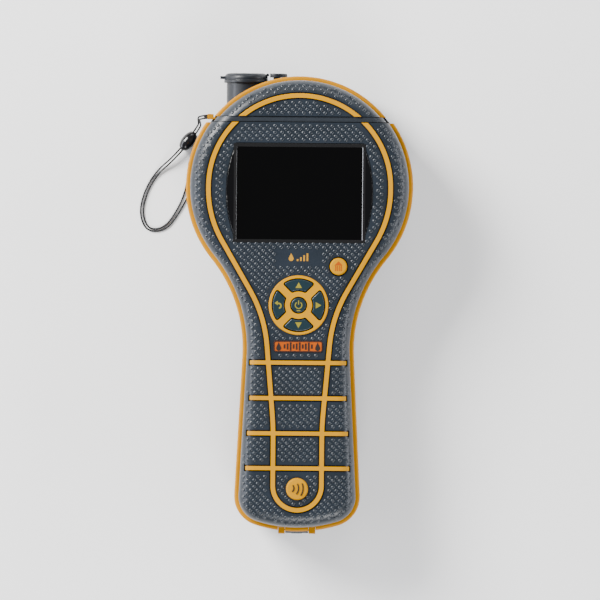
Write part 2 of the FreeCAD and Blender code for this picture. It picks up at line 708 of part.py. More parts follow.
pin_block_box = box("pin_block_box", ("-block_half", "block_half"), ("block_back", "block_front"),
                    ("block_low", "block_high"))
pin_block_soft = soften("pin_block_soft", pin_block_box, 2.0,
                        lambda edge: edge.BoundBox.YLength < 0.01 and edge.BoundBox.YMin > 40)
pin_ways = []
collets = []
pins = []
for side in (-1, 1):
    x = side * size("pin_x")
    pin_ways.append(rod(f"pin_way_{side + 1}", "collet_radius + 0.02", (x, 20, "pin_z"), 30, "y"))
    sleeve = rod(f"collet_sleeve_{side + 1}", "collet_radius", (x, 27, "pin_z"), 14, "y")
    nut_blank = rod(f"collet_head_{side + 1}", "nut_radius", (x, "block_front + 0.05", "pin_z"),
                    "nut_length", "y")
    nut = soften(f"collet_nut_{side + 1}", nut_blank, 0.4,
                 lambda edge: edge.BoundBox.YLength < 0.01 and edge.BoundBox.YMin > 42)
    pin_hole = rod(f"pin_hole_{side + 1}", "pin_radius + 0.02", (x, 20, "pin_z"), 40, "y")
    collets.append(cut(f"collet_{side + 1}", union(f"collet_solid_{side + 1}", sleeve, nut), pin_hole))
    point = doc.addObject("Part::Cone", f"pin_point_{side + 1}")
    point.Placement = Placement(Vector(), TURN["y"])
    for name, term in (("Radius1", "pin_radius"), ("Radius2", 0.12), ("Height", "point_length")):
        point.setExpression(name, words(term))
    for axis, term in (("x", x), ("y", "pin_tip + -point_length"), ("z", "pin_z")):
        point.setExpression(f".Placement.Base.{axis}", words(term))
    stem = rod(f"pin_stem_{side + 1}", "pin_radius", (x, 28, "pin_z"),
               "pin_tip + -point_length + -28", "y")
    pins.append(union(f"pin_{side + 1}", stem, point))
piece("pin_block", cut("pin_block", pin_block_soft, *pin_ways))
piece("pin_collets", union("pin_collets", *collets))
piece("electrode_pins", union("electrode_pins", *pins))

# ---- the display and the boards ------------------------------------------------------------------

lcd_span = (("-lcd_half", "lcd_half"), ("view_y + -lcd_half_high", "view_y + lcd_half_high"))
lcd_frame = box("lcd_frame", *lcd_span, ("board_top + 0.2", "board_top + lcd_thick"))
piece("lcd_module", lcd_frame)
board_head = box("board_head", (-32, 32), (-30, 22), ("board_top + -board_thick", "board_top"))
board_neck = box("board_neck", (-12, 12), (-76, -29.5), ("board_top + -board_thick", "board_top"))
board_pad = box("board_pad", (-14, 25), (-46, -29.5), ("board_top + -board_thick", "board_top"))
piece("main_board", union("main_board", board_head, board_neck, board_pad))
piece("buzzer", soften("buzzer_soft", rod("buzzer_disc", 6, (22, -22, 31.9), 4), 0.4,
                       level_at(31.9)))
chips = [box(f"chip_{index}", (x, x + wide), (y, y + deep), (34.8, 35.95))
         for index, (x, y, wide, deep) in enumerate(((-12, -8, 14, 14), (-26, 6, 10, 8),
                                                     (6, 8, 8, 6), (-24, -20, 7, 7)))]
piece("circuit_chips", union("circuit_chips", *chips))


# ---- the keypad ----------------------------------------------------------------------------------

def sector(name, turn, outer, inner, spoke, low, high):
    """A quarter of a ring between two diagonal spokes, turned to one of the four places."""
    pie = doc.addObject("Part::Cylinder", name + "_pie")
    pie.Angle = 90
    pie.Placement = Placement(Vector(), Rotation(Vector(0, 0, 1), turn - 45))
    pie.setExpression("Radius", words(outer))
    pie.setExpression("Height", f"{words(high)} - {words(low)}")
    core = rod(name + "_core", inner, (0, 0, 0), 90)
    tools = [core]
    for index, angle in enumerate((turn - 45, turn + 45)):
        bar = doc.addObject("Part::Box", f"{name}_spoke_{index}")
        bar.setExpression("Length", words(40))
        bar.setExpression("Width", words(spoke))
        bar.setExpression("Height", words(90))
        tilt = Rotation(Vector(0, 0, 1), angle)
        bar.Placement = Placement(tilt.multVec(Vector(0, -number(spoke) / 2, 0)), tilt)
        tools.append(bar)
    pie.setExpression(".Placement.Base.z", words(low))
    pie.setExpression(".Placement.Base.y", words(0))
    shape = cut(name, pie, *tools)
    shape.setExpression(".Placement.Base.y", words("pad_y"))
    return shape


KEYS = {"key_right": 0, "key_up": 90, "key_back": 180, "key_down": 270}
bezel_floor = "face + -face_wall + -0.9"
bezel_ways = [rod("power_way", "power_radius + key_gap", (0, "pad_y", 30), 30)]
for label, turn in KEYS.items():
    key = sector(label + "_blank", turn, "key_outer", "key_inner", "spoke + key_gap + key_gap",
                 "key_bottom", "key_top")
    corners = soften(label + "_corners", key, 0.7, upright)
    piece(label, soften(label + "_soft", corners, 0.45, level_at(size("key_top"))))
    way = sector(label + "_way", turn, "key_outer + key_gap", "key_inner + -key_gap", "spoke", 30, 60)
    bezel_ways.append(soften(label + "_way_corners", way, 1.0, upright))
piece("key_power", soften("power_soft", rod("power_rod", "power_radius", (0, "pad_y", "key_bottom"),
                                            "key_top + -key_bottom"), 0.45,
                          level_at(size("key_top"))))
piece("key_home", soften("home_soft", rod("home_rod", "home_radius", ("home_x", "home_y", "key_bottom"),
                                          "key_top + -key_bottom + -0.3"), 0.9,
                         level_at(size("key_top") - 0.3)))
bezel_top = soften("bezel_top", rod("bezel_disc", "pad_radius", (0, "pad_y", "face + -0.95"),
                                    "bezel_top + -face + 0.95"), 0.5, level_at(size("bezel_top")))
bezel_neck = rod("bezel_neck", "pad_radius + -0.6", (0, "pad_y", bezel_floor), 3)
bezel_flange = rod("bezel_flange", 16.0, (0, "pad_y", bezel_floor), 0.8)
piece("keypad_bezel", cut("keypad_bezel", union("bezel_solid", bezel_top, bezel_neck, bezel_flange),
                          *bezel_ways))
mat_disc = rod("mat_disc", 13.2, (0, "pad_y", "mat_top + -mat_thick"), "mat_thick")
mat_home = rod("mat_home", 5.2, ("home_x", "home_y", "mat_top + -mat_thick"), "mat_thick")
mat_bridge = doc.addObject("Part::Box", "mat_bridge")
mat_bridge.setExpression("Length", words(25))
mat_bridge.setExpression("Width", words(5))
mat_bridge.setExpression("Height", words("mat_thick"))
mat_bridge.Placement = Placement(Vector(), Rotation(Vector(0, 0, 1), 43))
for axis, term in (("x", 1.7), ("y", "pad_y + -1.8"), ("z", "mat_top + -mat_thick")):
    mat_bridge.setExpression(f".Placement.Base.{axis}", words(term))
piece("keypad_mat", union("keypad_mat", mat_disc, mat_home, mat_bridge))
# one switch under the middle key, four round it and one under the home key
dome_ring = (size("key_outer") + size("key_inner")) / 2
dome_places = [(0, size("pad_y")), (size("home_x"), size("home_y"))]
dome_places += [(x * dome_ring, size("pad_y") + y * dome_ring)
                for x, y in ((1, 0), (-1, 0), (0, 1), (0, -1))]
domes = [soften(f"dome_{index}", rod(f"dome_disc_{index}", 2.6, (x, y, "board_top + 0.05"), 1.1),
                0.5, level_at(size("board_top") + 1.15))
         for index, (x, y) in enumerate(dome_places)]
piece("dome_switches", union("dome_switches", *domes))

# ---- the nameplate and the radio's marker --------------------------------------------------------

plate = box("plate", ("-plate_half", "plate_half"),
            ("plate_y + -plate_half_high", "plate_y + plate_half_high"), ("face + -0.55", "face + 0.35"))
plate_cornered = soften("plate_cornered", plate, 1.0, upright)
piece("nameplate", soften("plate_soft", plate_cornered, 0.25, level_at(size("face") + 0.35)))
marker = rod("marker_disc", "marker_radius", (0, "marker_y", "face + -0.55"), 1.75)
marker_dome = soften("marker_dome", marker, 0.9, level_at(size("face") + 1.2))
marker_stem = rod("marker_stem", "marker_stem", (0, "marker_y", 42.6), 3)
piece("sensor_marker", union("sensor_marker", marker_dome, marker_stem))
piece("antenna_board", box("antenna_board", (-11, 11), (-153.9, -143.5), (30, 31.6)))


# ---- the probe port ------------------------------------------------------------------------------

def port_rod(name, radius, start, length):
    return rod(name, radius, ("port_x", start, "port_z"), length, "y")


tube_wall = port_rod("tube_wall", "port_radius", "port_inner_end", "port_mouth + -port_inner_end")
flange = soften("flange", port_rod("flange_disc", "flange_radius", "flange_low",
                                   "port_mouth + -flange_low"), 0.4,
                lambda edge: edge.BoundBox.YLength < 0.01)
tube_bore = port_rod("tube_bore", "port_bore", "port_floor", 40)
connector_seat = port_rod("connector_seat", "connector_radius + 0.05", "port_inner_end + -1", 20)
lid_seat = port_rod("lid_seat", "port_bore + 0.7", "port_mouth + -1.8", 5)
piece("port_tube", cut("port_tube", union("tube_solid", tube_wall, flange), tube_bore, connector_seat,
                        lid_seat))
plug_body = port_rod("plug_body", "connector_radius", "port_floor + -8", 7.95)
contact_ways = []
contacts = []
for index in range(5):
    angle = math.radians(72 * index + 90)
    place = (f"port_x + {round(3.6 * math.cos(angle), 3)}", 28.5,
             f"port_z + {round(3.6 * math.sin(angle), 3)}")
    contact_ways.append(rod(f"contact_way_{index}", 0.52, place, 14, "y"))
    contacts.append(rod(f"contact_{index}", 0.5, place, 9.3, "y"))
piece("port_connector", cut("port_connector", plug_body, *contact_ways))
piece("port_contacts", union("port_contacts", *contacts))

# the rubber lid: a domed disc with a shallow plug, on a stud beside the port
lid_disc = port_rod("lid_disc", "flange_radius + -0.15", "port_mouth + 0.1", "lid_thick")
lid_dome = soften("lid_dome", lid_disc, 2.2,
                  lambda edge: edge.BoundBox.YLength < 0.01 and edge.BoundBox.YMin > 52)
lid_plug = port_rod("lid_plug", "port_bore", "port_mouth + -1.6", 2.0)
lid_tab = box("lid_tab", (-19.0, "lid_hinge_x"), (51.0, 52.3), (8.8, 13.2))
lid_knuckle = rod("lid_knuckle", 0.65, ("lid_hinge_x", "lid_hinge_y", 8.8), 4.4)
lid_pull = box("lid_pull", (-37.2, -34.6), (50.0, 51.3), (9.2, 12.8))
piece("port_lid", union("port_lid", lid_dome, lid_plug, lid_tab, lid_knuckle, lid_pull))
stud_disc = rod("stud_disc", "stud_radius", ("stud_x", 50.9, "port_z"), 1.8, "y")
stud_head = soften("stud_head", stud_disc, 0.7,
                   lambda edge: edge.BoundBox.YLength < 0.01 and edge.BoundBox.YMin > 52)
stud_neck = rod("stud_neck", "stud_neck", ("stud_x", 44, "port_z"), 7, "y")
stud_flat = box("stud_flat", (-20, -14.1), (45, 56), (0, 30))
piece("lid_anchor", cut("lid_anchor", union("stud_solid", stud_head, stud_neck), stud_flat))

# ---- the surface thermometer ---------------------------------------------------------------------

piece("ir_sensor", union("ir_sensor", rod("ir_can", 4.0, ("infrared_x", 38, "sight_z"), 8, "y"),
                         rod("ir_base", "infrared_radius", ("infrared_x", 37, "sight_z"), 1.2, "y")))
piece("ir_window", rod("ir_window", "infrared_radius", ("infrared_x", 47.6, "sight_z"), 1.6, "y"))
laser_barrel = rod("laser_barrel", "laser_radius", ("laser_x", 34, "sight_z"), 12.4, "y")
laser_hole = rod("laser_hole", 1.0, ("laser_x", 45, "sight_z"), 5, "y")
piece("laser_module", cut("laser_module", laser_barrel, laser_hole))

# ---- the batteries -------------------------------------------------------------------------------

tray_solid = box("tray_solid", ("-tray_half", "tray_half"), ("tray_low", "tray_high"),
                 ("tray_bottom", "tray_top"))
tray_hollow = box("tray_hollow", ("-tray_half + tray_wall", "tray_half + -tray_wall"),
                  ("tray_low + tray_wall", "tray_high + -tray_wall"), (5, "tray_top + -tray_wall"))
tray_rib = box("tray_rib", (-0.3, 0.3), ("tray_low + 1.2", "tray_high + -1.2"),
               (20, "tray_top + -1"))
piece("battery_tray", union("battery_tray", cut("tray_case", tray_solid, tray_hollow), tray_rib))
cells = []
plates = []
springs = []
# each cell's tip meets a plate and its other end a spring: the two cells point opposite ways
for x, body_low, tip_low, spring_low in (("cell_x", -136.5, -88.0, -140.95),
                                         ("-cell_x", -139.6, -140.95, -90.85)):
    can = soften(f"cell_can_{x[0]}", rod(f"cell_rod_{x[0]}", "cell_radius", (x, body_low, "cell_z"),
                                         "cell_body", "y"), 0.5,
                 lambda edge: edge.BoundBox.YLength < 0.01)
    cells.append(union(f"cell_{x[0]}", can, rod(f"cell_tip_{x[0]}", 2.7, (x, tip_low, "cell_z"),
                                                "cell_tip", "y")))
    coil = rod(f"spring_coil_{x[0]}", 3.4, (x, spring_low, "cell_z"), 4.35, "y")
    core = rod(f"spring_core_{x[0]}", 2.7, (x, spring_low - 1, "cell_z"), 8, "y")
    springs.append(cut(f"spring_{x[0]}", coil, core))
    for end, low in (("top", -86.4), ("end", -141.55)):
        plates.append(box(f"plate_{end}_{x[0]}", (f"{x} + -5", f"{x} + 5"), (low, low + 0.55),
                          (13.5, 24)))
piece("batteries", union("batteries", *cells))
piece("contact_plates", union("contact_plates", *plates))
piece("contact_springs", union("contact_springs", *springs))

# ---- the wrist strap -----------------------------------------------------------------------------

eyelet_arm = box("eyelet_arm", (-42.9, -39.15), (31.05, 32.15), (22.3, 26))
eyelet_lug = box("eyelet_lug", (-42.9, -40.15), (31.05, 33.5), (22.3, 26))
piece("strap_eyelet", soften("strap_eyelet_soft", union("eyelet", eyelet_arm, eyelet_lug), 0.3,
                             level_at(26)))

# the cord is one doubled length, from the eyelet through the bead, round its loop and back;
# the points are measured from the head's centre, and the loop's end lies under the rear edge
OUTWARD = [(-42.9, 32.9, 24.0), (-47.0, 32.6, 22.0), (-47.5, 31.0, 12.8), (-46.9, 28.55, 3.4),
           (-58.4, 14.1, 3.4), (-66.7, 7.2, 0.45), (-72.2, -2.2, 0.45), (-74.6, -12.4, 0.45),
           (-71.2, -21.2, 0.45), (-62.1, -20.7, 0.45), (-56.4, -13.2, 0.45), (-51.9, -4.6, 0.45),
           (-48.0, 4.4, 0.45), (-45.4, 11.3, 0.45), (-48.0, 14.0, 0.45)]
RETURN = [(-51.6, 12.7, 0.45), (-51.9, 4.9, 0.45), (-53.6, -4.0, 0.45), (-57.7, -12.5, 0.45),
          (-62.9, -19.4, 0.45), (-70.4, -20.2, 0.45), (-73.2, -12.3, 0.45), (-70.9, -2.7, 0.45),
          (-65.7, 6.2, 0.45), (-57.4, 13.3, 3.4), (-45.9, 27.75, 3.4), (-46.5, 30.1, 12.8),
          (-46.9, 31.3, 22.0), (-42.9, 31.6, 24.0)]


def cord_path(points):
    """Straight runs joined by arcs as large as the two runs at each point allow."""
    edges = []
    radii = []
    start = points[0]
    for before, here, after in zip(points, points[1:], points[2:]):
        arriving = (here - before).normalize()
        leaving = (after - here).normalize()
        half_turn = arriving.getAngle(leaving) / 2
        reach = 0.45 * min((here - before).Length, (after - here).Length)
        radius = reach / math.tan(half_turn)
        enter = here - arriving * reach
        leave = here + leaving * reach
        crown = here + (leaving - arriving).normalize() * (radius / math.cos(half_turn) - radius)
        edges.append(Part.LineSegment(start, enter).toShape())
        edges.append(Part.Arc(enter, crown, leave).toShape())
        radii.append(round(radius, 1))
        start = leave
    edges.append(Part.LineSegment(start, points[-1]).toShape())
    return Part.Wire(edges), radii


path, radii = cord_path([Vector(*point) for point in OUTWARD + RETURN])
first_run = Vector(*OUTWARD[1]) - Vector(*OUTWARD[0])
section = Part.Wire(Part.makeCircle(size("cord_radius"), Vector(*OUTWARD[0]), first_run))
tube = path.makePipeShell([section], True, False)
expected = math.pi * size("cord_radius") ** 2 * path.Length
print(f"cord: {path.Length:.1f} mm, radii {radii}, volume {tube.Volume / expected:.4f} of its path's")
if abs(tube.Volume / expected - 1) > 0.01:
    raise ValueError("the cord's volume is not its section times its length")
cord = doc.addObject("Part::Feature", "strap_cord")
cord.Shape = tube
piece("strap_cord", cord)

# the egg-shaped bead slides along the straight stretch, both strands through one flat hole
BEAD_TURN = math.degrees(math.atan2(OUTWARD[4][1] - OUTWARD[3][1], OUTWARD[4][0] - OUTWARD[3][0]))
bead_egg = doc.addObject("Part::Ellipsoid", "bead_egg")
for name, term in (("Radius1", "bead_radius"), ("Radius2", "bead_radius"), ("Radius3", "bead_half")):
    bead_egg.setExpression(name, words(term))
bead_hole = box("bead_hole", (-1.5, 1.5), (-20, 20), (-0.8, 0.8))
bead = cut("bead", bead_egg, bead_hole)
bead.Placement = Placement(Vector(-52.0, 21.1, 3.4), Rotation(Vector(0, 0, 1), BEAD_TURN - 90))
bead.setExpression(".Placement.Base.y", words(21.1))
piece("strap_bead", bead)


# ---- checks and files ----------------------------------------------------------------------------

doc.recompute()
for thing in doc.Objects:
    if "Invalid" in thing.State or "Error" in thing.State:
        raise ValueError(f"{thing.Name}: {thing.State}")
os.makedirs("parts", exist_ok=True)
for thing in pieces:
    if thing.Shape.isNull() or not thing.Shape.isValid():
        raise ValueError(f"{thing.Label}: the shape is null or not valid")
    thing.Shape.exportStep(f"parts/{thing.Label}.step")
print(f"{len(pieces)} sub-parts written")
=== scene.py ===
import math

import bmesh
import bpy
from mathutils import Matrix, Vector
from mathutils.bvhtree import BVHTree


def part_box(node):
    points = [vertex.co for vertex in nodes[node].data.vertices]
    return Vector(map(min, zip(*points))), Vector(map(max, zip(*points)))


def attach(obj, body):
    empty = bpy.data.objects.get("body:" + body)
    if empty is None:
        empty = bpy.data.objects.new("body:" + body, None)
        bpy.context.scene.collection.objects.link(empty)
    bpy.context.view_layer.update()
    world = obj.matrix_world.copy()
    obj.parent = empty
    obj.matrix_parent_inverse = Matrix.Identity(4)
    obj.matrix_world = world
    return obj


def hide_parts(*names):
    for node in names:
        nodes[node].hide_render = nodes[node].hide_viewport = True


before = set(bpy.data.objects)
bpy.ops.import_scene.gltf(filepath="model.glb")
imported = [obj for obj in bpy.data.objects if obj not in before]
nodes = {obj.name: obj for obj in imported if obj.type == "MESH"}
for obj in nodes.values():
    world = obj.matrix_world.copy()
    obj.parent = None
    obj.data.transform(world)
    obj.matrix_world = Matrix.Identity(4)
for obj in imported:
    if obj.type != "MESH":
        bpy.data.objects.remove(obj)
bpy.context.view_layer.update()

MM = 0.001


# ---- places, all read from the frame -------------------------------------------------------------

def middle(node):
    """The middle of a CAD node's box."""
    low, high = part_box(node)
    return (Vector(low) + Vector(high)) / 2


def top(node):
    """The level of a CAD node's highest point."""
    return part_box(node)[1][2]


def face_of(node):
    """The middle of a node's top face."""
    place = middle(node)
    place.z = top(node)
    return place


# the head's centre in plan is the centre of the cap's round edge
CAP_RADIUS = 51.3 * MM
HEAD = Vector((0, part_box("cap_rim")[1][1] - CAP_RADIUS, 0))
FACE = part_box("front_shell")[1].z
VIEW_HALF = Vector((29.0, 21.4)) * MM


# ---- materials -----------------------------------------------------------------------------------

def shader(name):
    """A new material's node tree, its Principled shader and its object coordinates."""
    made = bpy.data.materials.new(name)
    made.use_nodes = True
    tree = made.node_tree
    principled = tree.nodes["Principled BSDF"]
    coordinates = tree.nodes.new("ShaderNodeTexCoord").outputs["Object"]
    return made, tree, principled, coordinates


def noise(tree, coordinates, scale, detail=4.0, stretch=None):
    """Noise of a scale in 1/m, stretched along an axis if asked."""
    source = coordinates
    if stretch is not None:
        mapping = tree.nodes.new("ShaderNodeMapping")
        mapping.inputs["Scale"].default_value = stretch
        tree.links.new(coordinates, mapping.inputs["Vector"])
        source = mapping.outputs["Vector"]
    texture = tree.nodes.new("ShaderNodeTexNoise")
    texture.inputs["Scale"].default_value = scale
    texture.inputs["Detail"].default_value = detail
    tree.links.new(source, texture.inputs["Vector"])
    return texture.outputs["Fac"]


def ramp(tree, factor, stops):
    """A colour ramp from a list of (place, colour)."""
    node = tree.nodes.new("ShaderNodeValToRGB")
    elements = node.color_ramp.elements
    for element, (place, colour) in zip(elements, stops):
        element.position = place
        element.color = (*colour, 1.0)
    tree.links.new(factor, node.inputs["Fac"])
    return node.outputs["Color"]


def spread(tree, factor, low, high):
    """Noise's middle range stretched to run from a low to a high value."""
    node = tree.nodes.new("ShaderNodeMapRange")
    node.inputs["From Min"].default_value = 0.3
    node.inputs["From Max"].default_value = 0.7
    node.inputs["To Min"].default_value = low
    node.inputs["To Max"].default_value = high
    tree.links.new(factor, node.inputs["Value"])
    return node.outputs["Result"]


def bump(tree, principled, height, strength, distance):
    """Fine relief from a height pattern."""
    node = tree.nodes.new("ShaderNodeBump")
    node.inputs["Strength"].default_value = strength
    node.inputs["Distance"].default_value = distance
    tree.links.new(height, node.inputs["Height"])
    tree.links.new(node.outputs["Normal"], principled.inputs["Normal"])


def moulded(name, colour, rough, vary=0.12, grain=2600, depth=0.06, cloud=70, coat=0.0, specular=0.5):
    """A moulded plastic or rubber: slow colour drift, fine surface grain and uneven gloss."""
    made, tree, principled, coordinates = shader(name)
    drift = noise(tree, coordinates, cloud, 3.0)
    dark = [channel * (1 - vary) for channel in colour]
    light = [min(1.0, channel * (1 + vary)) for channel in colour]
    tree.links.new(ramp(tree, drift, [(0.3, dark), (0.7, light)]), principled.inputs["Base Color"])
    fine = noise(tree, coordinates, grain, 2.0)
    tree.links.new(spread(tree, fine, rough - 0.06, rough + 0.06), principled.inputs["Roughness"])
    bump(tree, principled, fine, 0.5, depth * MM)
    principled.inputs["Coat Weight"].default_value = coat
    principled.inputs["Coat Roughness"].default_value = 0.12
    principled.inputs["Specular IOR Level"].default_value = specular
    return made


def metal(name, colour, rough, stretch):
    """Bare metal with fine drawn lines."""
    made, tree, principled, coordinates = shader(name)
    lines = noise(tree, coordinates, 2500, 3.0, stretch)
    dark = [channel * 0.85 for channel in colour]
    tree.links.new(ramp(tree, lines, [(0.3, dark), (0.7, colour)]), principled.inputs["Base Color"])
    tree.links.new(spread(tree, lines, rough - 0.08, rough + 0.1), principled.inputs["Roughness"])
    bump(tree, principled, lines, 0.3, 0.02 * MM)
    principled.inputs["Metallic"].default_value = 1.0
    return made


def black_glass():
    """The display's window: a deep black panel inside a slightly lighter printed border."""
    made, tree, principled, coordinates = shader("window_glass")
    split = tree.nodes.new("ShaderNodeSeparateXYZ")
    tree.links.new(coordinates, split.inputs["Vector"])
    centre = middle("lcd_module")
    inside = tree.nodes.new("ShaderNodeMath")
    inside.operation = "MULTIPLY"
    sides = (("X", VIEW_HALF.x, centre.x), ("Y", VIEW_HALF.y, centre.y))
    for index, (axis, half, place) in enumerate(sides):
        near = tree.nodes.new("ShaderNodeMath")
        near.operation = "COMPARE"
        near.inputs[1].default_value = place
        near.inputs[2].default_value = half
        tree.links.new(split.outputs[axis], near.inputs[0])
        tree.links.new(near.outputs[0], inside.inputs[index])
    border = (0.0025, 0.0025, 0.003)
    panel = (0.0004, 0.0004, 0.0005)
    colour = ramp(tree, inside.outputs[0], [(0.0, border), (1.0, panel)])
    tree.links.new(colour, principled.inputs["Base Color"])
    smear = noise(tree, coordinates, 60, 5.0, (1, 2.5, 1))
    tree.links.new(spread(tree, smear, 0.05, 0.07), principled.inputs["Roughness"])
    principled.inputs["Specular IOR Level"].default_value = 0.25
    return made


def braid():
    """The strap's cord: a fine diagonal braid, with painted shade in the creases between its strands."""
    made, tree, principled, coordinates = shader("cord_braid")
    weave = tree.nodes.new("ShaderNodeTexVoronoi")
    weave.inputs["Scale"].default_value = 2600
    tree.links.new(coordinates, weave.inputs["Vector"])
    strand = (0.01, 0.01, 0.012)
    # painted shade: the colour darkens towards the edges of the weave's cells, the creases between the
    # strands
    painted_crease_shade = (0.002, 0.002, 0.0025)
    colour = ramp(tree, weave.outputs["Distance"], [(0.0, strand), (0.8, painted_crease_shade)])
    tree.links.new(colour, principled.inputs["Base Color"])
    bump(tree, principled, weave.outputs["Distance"], 0.6, 0.08 * MM)
    principled.inputs["Roughness"].default_value = 0.75
    principled.inputs["Sheen Weight"].default_value = 0.05
    return made


DRAWN = (1, 12, 1)
materials = {
    "grip": moulded("grip_rubber", (0.0105, 0.0155, 0.0225), 0.34, vary=0.16, depth=0.05, specular=0.4),
    "dimple": moulded("dimple_rubber", (0.0105, 0.0155, 0.0225), 0.29, depth=0.02, specular=0.55),
    "case": moulded("case_grey", (0.009, 0.013, 0.021), 0.5, grain=1800, depth=0.12),
    "yellow": moulded("yellow_plastic", (0.45, 0.205, 0.0), 0.42, vary=0.04, depth=0.02, specular=0.06),
    "rim": moulded("rim_plastic", (0.42, 0.175, 0.0), 0.42, vary=0.05, depth=0.02, specular=0.08),
    "dark": moulded("dark_plastic", (0.01, 0.014, 0.02), 0.42, vary=0.15, depth=0.03),
    "glass": black_glass(),
    "key": moulded("key_silicone", (0.004, 0.016, 0.022), 0.34, depth=0.02),
    "lid": moulded("lid_rubber", (0.006, 0.008, 0.012), 0.42, vary=0.14, depth=0.04, specular=0.4),
    "port": moulded("port_plastic", (0.009, 0.011, 0.015), 0.36, vary=0.08, depth=0.03, specular=0.4),
    "pad": moulded("pad_rubber", (0.008, 0.009, 0.012), 0.6, vary=0.2, depth=0.1),
    "plate": moulded("plate_orange", (0.34, 0.06, 0.0), 0.36, vary=0.05, depth=0.01, specular=0.3),
    "ink": moulded("dark_ink", (0.012, 0.006, 0.004), 0.45, vary=0.1, depth=0.01),
    "olive": moulded("key_print", (0.2, 0.165, 0.004), 0.5, vary=0.1, depth=0.01),
    "mark": moulded("yellow_print", (0.36, 0.17, 0.0), 0.5, vary=0.1, depth=0.01),
    "board": moulded("circuit_board", (0.01, 0.09, 0.035), 0.35, vary=0.2, cloud=400, depth=0.03),
    "chip": moulded("chip_resin", (0.012, 0.012, 0.013), 0.5, vary=0.2, depth=0.03),
    "steel": metal("steel", (0.62, 0.62, 0.64), 0.3, DRAWN),
    "brass": metal("brass", (0.78, 0.55, 0.24), 0.3, DRAWN),
    "battery": moulded("battery_sleeve", (0.02, 0.07, 0.22), 0.3, vary=0.1, depth=0.01, coat=0.4),
    "bead": moulded("bead_gloss", (0.004, 0.004, 0.005), 0.16, vary=0.1, depth=0.005),
    "lens": moulded("tinted_lens", (0.02, 0.004, 0.008), 0.1, vary=0.1, depth=0.002, coat=0.8),
    "bevel": moulded("window_bevel", (0.003, 0.003, 0.0035), 0.14, vary=0.1, depth=0.002, specular=1.0),
    "floor": moulded("floor_white", (0.93, 0.93, 0.93), 0.9, vary=0.01, depth=0.0, cloud=3, specular=0.1),
    "cord": braid(),
}

FINISH = {
    "grip": ("front_shell", "cap_shell"),
    "case": ("rear_shell", "battery_door"),
    "yellow": ("trim_frame", "cap_trim", "keypad_bezel", "key_home", "sensor_marker"),
    "rim": ("body_rim", "cap_rim", "flap_lugs", "strap_eyelet"),
    "dark": ("seam_collar", "pin_block", "usb_flap", "port_connector", "battery_tray", "buzzer"),
    "glass": ("display_window", "lcd_module"),
    "key": ("key_up", "key_right", "key_down", "key_back", "key_power", "keypad_mat", "window_gasket"),
    "lid": ("port_lid", "lid_anchor"),
    "pad": ("sensor_pad",),
    "port": ("port_tube",),
    "plate": ("nameplate",),
    "board": ("main_board", "rf_sensor_board", "antenna_board", "usb_board"),
    "chip": ("circuit_chips",),
    "steel": ("electrode_pins", "flap_hinge_pin", "case_screws", "usb_socket", "contact_springs",
              "contact_plates", "dome_switches", "ir_sensor"),
    "brass": ("pin_collets", "port_contacts", "rf_sensor_plate", "laser_module"),
    "battery": ("batteries",),
    "bead": ("strap_bead",),
    "lens": ("ir_window",),
    "cord": ("strap_cord",),
}

for finish, names in FINISH.items():
    for node in names:
        nodes[node].data.materials.clear()
        nodes[node].data.materials.append(materials[finish])


# ---- new objects ---------------------------------------------------------------------------------

def add(name, data, material=None):
    """A new object in the scene, from a mesh, a curve, a light or a camera."""
    thing = bpy.data.objects.new(name, data)
    bpy.context.scene.collection.objects.link(thing)
    if material is not None:
        data.materials.append(materials[material])
    return thing


def add_piece(name, data, body, material):
    """A visible piece that moves with a CAD body."""
    thing = add(name, data, material)
    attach(thing, body)
    return thing


def filled(name, mesh):
    """Mesh data from a finished bmesh, which is freed."""
    data = bpy.data.meshes.new(name)
    mesh.to_mesh(data)
    mesh.free()
    return data


# ---- the camera, the floor and the light ---------------------------------------------------------

CAMERA_HEIGHT = 6.0
FRAME_WIDTH = 278.2 * MM
RIM_LEVEL = middle("body_rim").z
camera_data = bpy.data.cameras.new("camera")
camera = add("camera", camera_data)
camera.location = (0.65 * MM, 1.7 * MM, CAMERA_HEIGHT)
camera.rotation_euler = (0, 0, math.radians(0.48))
camera_data.sensor_width = 36
camera_data.clip_end = 20
camera_data.lens = camera_data.sensor_width * (CAMERA_HEIGHT - RIM_LEVEL) / FRAME_WIDTH
bpy.context.scene.camera = camera

HALF_FLOOR = 3.0
FLOOR_CORNERS = [(x * HALF_FLOOR, y * HALF_FLOOR, 0) for x, y in ((-1, -1), (1, -1), (1, 1), (-1, 1))]
floor_mesh = bpy.data.meshes.new("floor")
floor_mesh.from_pydata(FLOOR_CORNERS, [], [(0, 1, 2, 3)])
add("floor", floor_mesh, "floor")

# each soft light's name, place, size, power in watts and colour
LIGHTS = (
    ("key_light", (-1.1, 0.9, 1.0), (0.7, 0.7), 75, (1.0, 0.99, 0.97)),
    ("left_panel", (-1.5, 0.0, 0.45), (1.6, 0.3), 22, (0.9, 0.92, 1.0)),
    ("right_panel", (1.4, 0.0, 0.55), (1.6, 0.3), 20, (0.92, 0.94, 1.0)),
    ("low_light", (0.3, -1.4, 1.1), (1.0, 0.6), 30, (1, 1, 1)),
    ("far_light", (0.4, 1.5, 0.9), (1.0, 0.4), 9, (1, 1, 1)),
)
for name, place, light_size, power, colour in LIGHTS:
    light = bpy.data.lights.new(name, "AREA")
    light.shape = "RECTANGLE"
    light.size, light.size_y = light_size
    light.energy = power
    light.color = colour
    lamp = add(name, light)
    lamp.location = place
    lamp.rotation_euler = (-lamp.location).to_track_quat("-Z", "Y").to_euler()

world = bpy.data.worlds.new("studio")
bpy.context.scene.world = world
world.use_nodes = True
world.node_tree.nodes["Background"].inputs["Color"].default_value = (1, 1, 1, 1)
world.node_tree.nodes["Background"].inputs["Strength"].default_value = 0.25


# ---- the strap's cord ----------------------------------------------------------------------------

